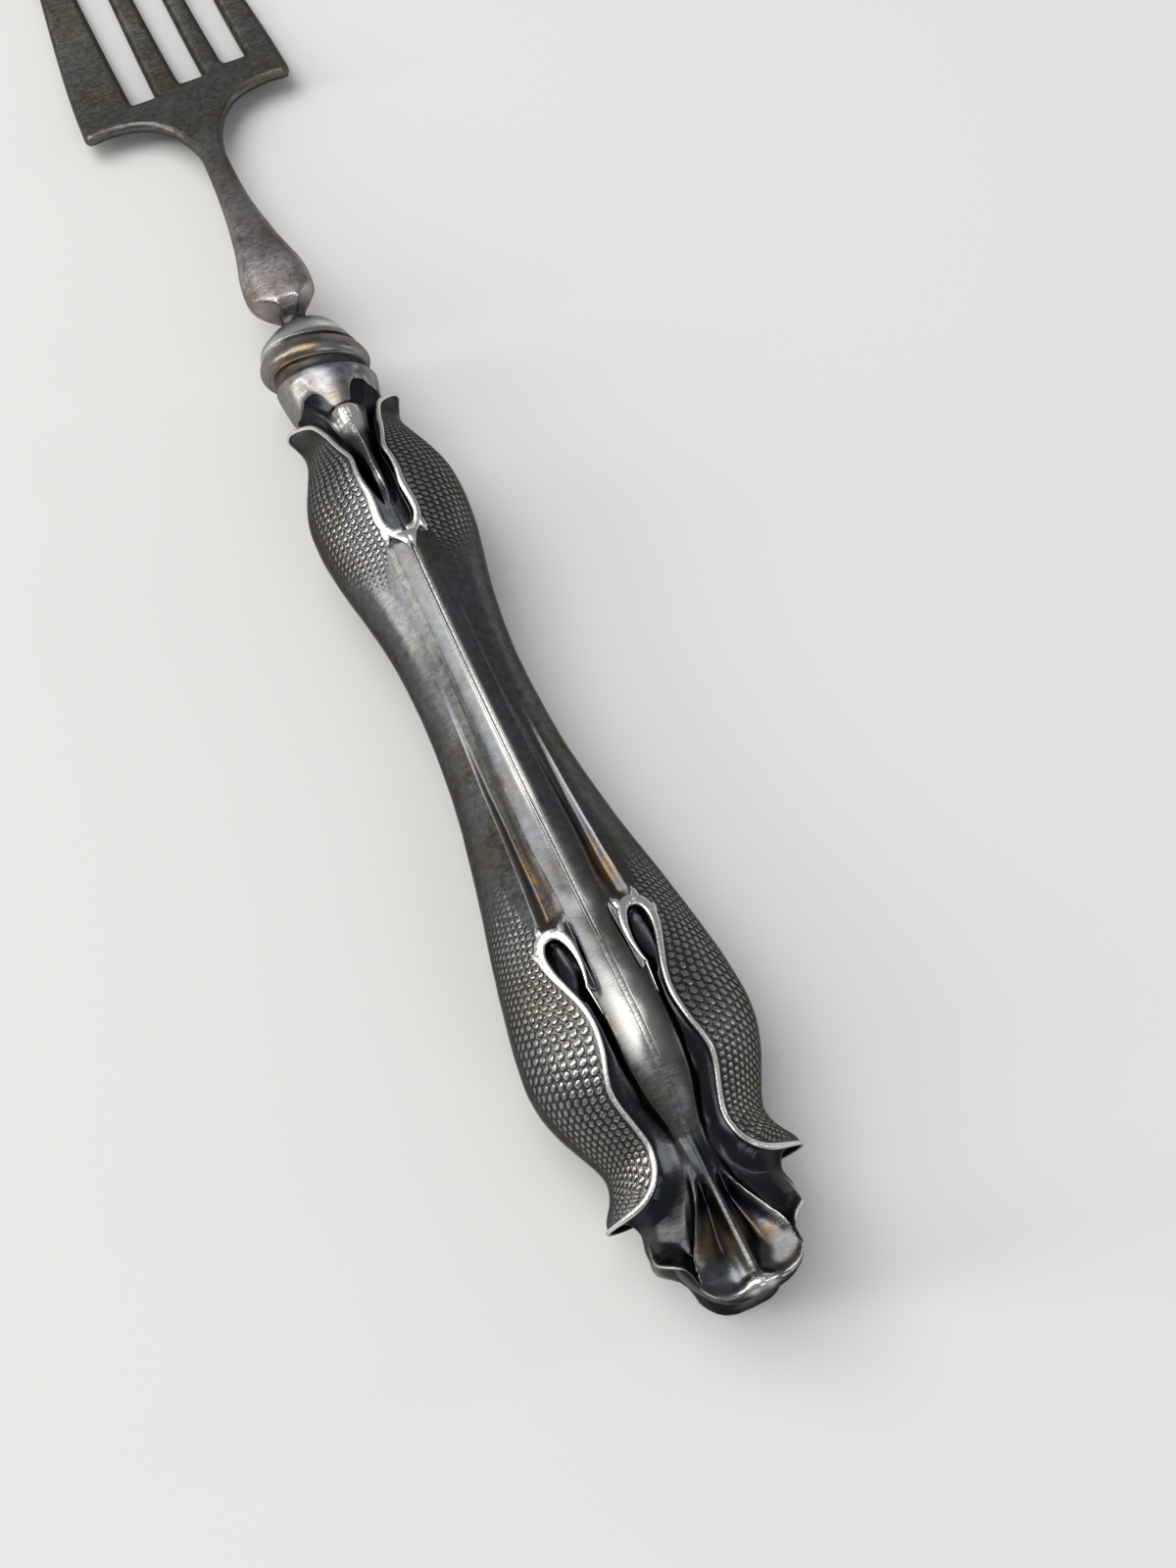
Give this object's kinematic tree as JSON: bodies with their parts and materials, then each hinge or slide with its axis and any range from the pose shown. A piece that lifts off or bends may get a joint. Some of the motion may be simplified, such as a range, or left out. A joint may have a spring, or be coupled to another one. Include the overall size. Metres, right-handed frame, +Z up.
{
  "type": "oyster fork",
  "caption": "Small serving fork with a broad cutting tine, faceted neck, turned ferrule and a hollow two-shell handle with scaled leaves.",
  "frame": {"origin": "on the surface that the fork lies on, below the middle of its length", "axes": "+Y from the handle to the tips of the tines, +X to the right seen from the front with the tines up, +Z up out of the front"},
  "size_m": [0.0188, 0.1448, 0.0142],
  "materials": {
    "dark_head": "worn plate, dull and toned brown grey",
    "polished_ferrule": "polished silver, lightly toned",
    "tarnished_silver": "dark toned silver, bright on rims and high places",
    "solder": "bright worn solder line",
    "cement": "dull brown resin cement"
  },
  "bodies": {
    "root": {"fork_head": "dark_head", "cap": "polished_ferrule", "ring": "polished_ferrule", "collar": "polished_ferrule", "left_shell": "tarnished_silver", "right_shell": "tarnished_silver", "front_seam": "solder", "back_seam": "solder", "cement_core": "cement"}
  },
  "joints": []
}
